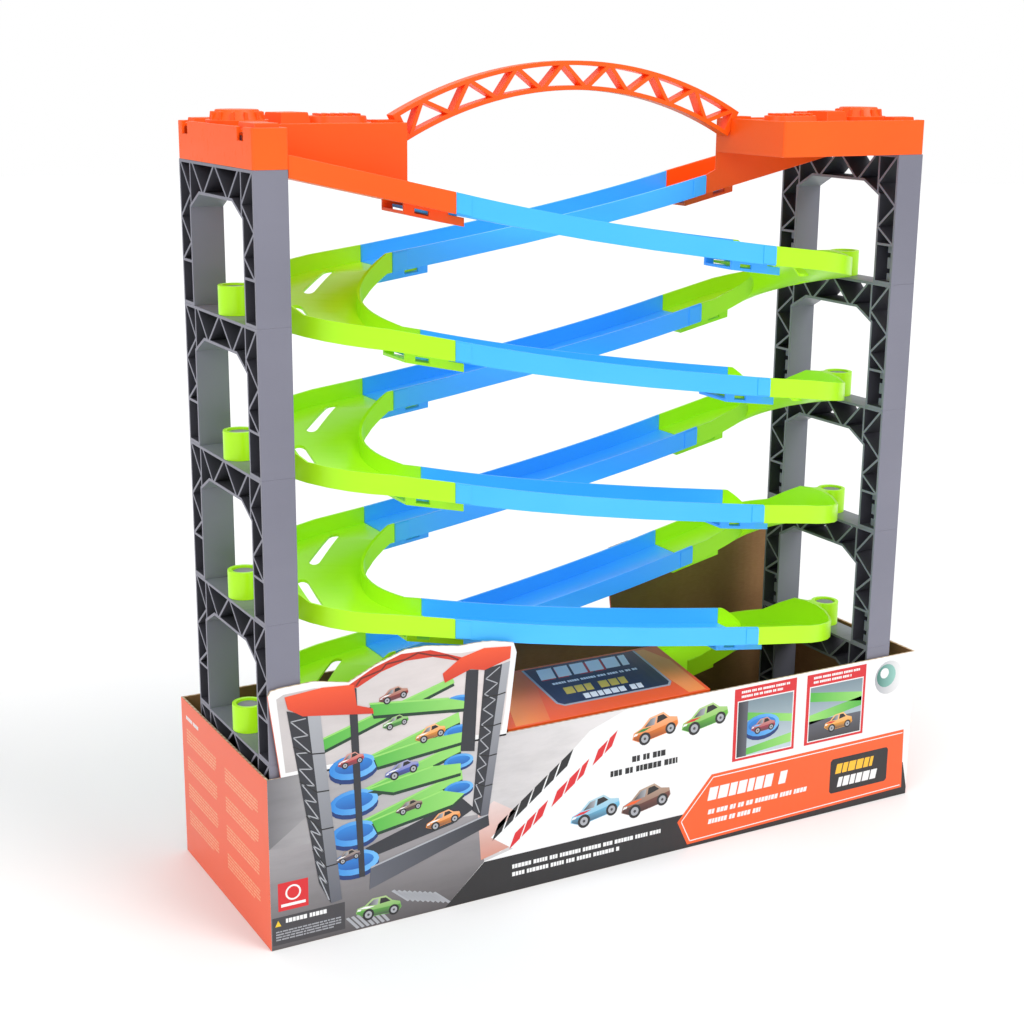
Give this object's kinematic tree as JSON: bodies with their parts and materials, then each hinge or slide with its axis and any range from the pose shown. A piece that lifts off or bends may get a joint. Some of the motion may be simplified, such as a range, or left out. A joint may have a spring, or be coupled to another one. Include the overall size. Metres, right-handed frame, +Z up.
{
  "type": "toy race track set",
  "caption": "Two-tower downhill race track with crossing channels, U-turn curves, launch platforms, a truss arch, a catch basin and small cars, in an open display tray.",
  "frame": {"origin": "on the underside of the display tray, midway between the two towers", "axes": "+Z up, +X from the left tower to the right one, +Y to the back"},
  "size_m": [0.4338, 0.1366, 0.4546],
  "materials": {
    "tower_grey": "satin moulded",
    "basin_grey": "matt moulded",
    "launch_orange": "gloss moulded",
    "track_blue": "gloss moulded",
    "curve_green": "gloss moulded",
    "tray_card": "printed outside, brown inside",
    "insert_card": "printed",
    "car_paint_1": "gloss",
    "car_paint_2": "gloss",
    "car_glass": "smoked",
    "car_base": "matt",
    "car_axle": "bright",
    "car_wheel": "satin"
  },
  "bodies": {
    "tray": {"display_tray": "tray_card"},
    "track_set": {"left_tower_frame_1": "tower_grey", "left_tower_frame_2": "tower_grey", "left_tower_frame_3": "tower_grey", "left_tower_frame_4": "tower_grey", "left_tower_frame_5": "tower_grey", "left_tower_foot": "tower_grey", "left_launch_platform": "launch_orange", "left_basin": "basin_grey", "left_curve_1": "curve_green", "left_curve_2": "curve_green", "left_curve_3": "curve_green", "left_curve_4": "curve_green", "right_tower_frame_1": "tower_grey", "right_tower_frame_2": "tower_grey", "right_tower_frame_3": "tower_grey", "right_tower_frame_4": "tower_grey", "right_tower_frame_5": "tower_grey", "right_tower_foot": "tower_grey", "right_launch_platform": "launch_orange", "right_basin": "basin_grey", "right_curve_1": "curve_green", "right_curve_2": "curve_green", "right_curve_3": "curve_green", "right_curve_4": "curve_green", "front_track_1": "track_blue", "front_track_2": "track_blue", "front_track_3": "track_blue", "front_track_4": "track_blue", "back_track_1": "track_blue", "back_track_2": "track_blue", "back_track_3": "track_blue", "back_track_4": "track_blue", "truss_arch": "launch_orange", "insert_card": "insert_card"},
    "car_1": {"car_1_body": "car_paint_1", "car_1_windows": "car_glass", "car_1_chassis": "car_base"},
    "car_1_front_wheelset": {"car_1_front_axle": "car_axle", "car_1_front_wheels": "car_wheel"},
    "car_1_rear_wheelset": {"car_1_rear_axle": "car_axle", "car_1_rear_wheels": "car_wheel"},
    "car_2": {"car_2_body": "car_paint_2", "car_2_windows": "car_glass", "car_2_chassis": "car_base"},
    "car_2_front_wheelset": {"car_2_front_axle": "car_axle", "car_2_front_wheels": "car_wheel"},
    "car_2_rear_wheelset": {"car_2_rear_axle": "car_axle", "car_2_rear_wheels": "car_wheel"}
  },
  "joints": [
    {"name": "lift_out", "type": "slide", "parent": "tray", "child": "track_set", "axis": [0, 0, 1], "range_m": [0, 0.16]},
    {"name": "car_1_roll", "type": "slide", "parent": "track_set", "child": "car_1", "axis": [1, 0, 0], "range_m": [-0.08, 0.08]},
    {"name": "car_1_front_spin", "type": "hinge", "parent": "car_1", "child": "car_1_front_wheelset", "pos_m": [-0.0125, -0.022, 0.00975], "axis": [0, 1, 0], "continuous": true},
    {"name": "car_1_rear_spin", "type": "hinge", "parent": "car_1", "child": "car_1_rear_wheelset", "pos_m": [-0.0555, -0.022, 0.00975], "axis": [0, 1, 0], "continuous": true},
    {"name": "car_2_roll", "type": "slide", "parent": "track_set", "child": "car_2", "axis": [1, 0, 0], "range_m": [-0.08, 0.08]},
    {"name": "car_2_front_spin", "type": "hinge", "parent": "car_2", "child": "car_2_front_wheelset", "pos_m": [0.0125, 0.022, 0.00975], "axis": [0, 1, 0], "continuous": true},
    {"name": "car_2_rear_spin", "type": "hinge", "parent": "car_2", "child": "car_2_rear_wheelset", "pos_m": [0.0555, 0.022, 0.00975], "axis": [0, 1, 0], "continuous": true}
  ]
}
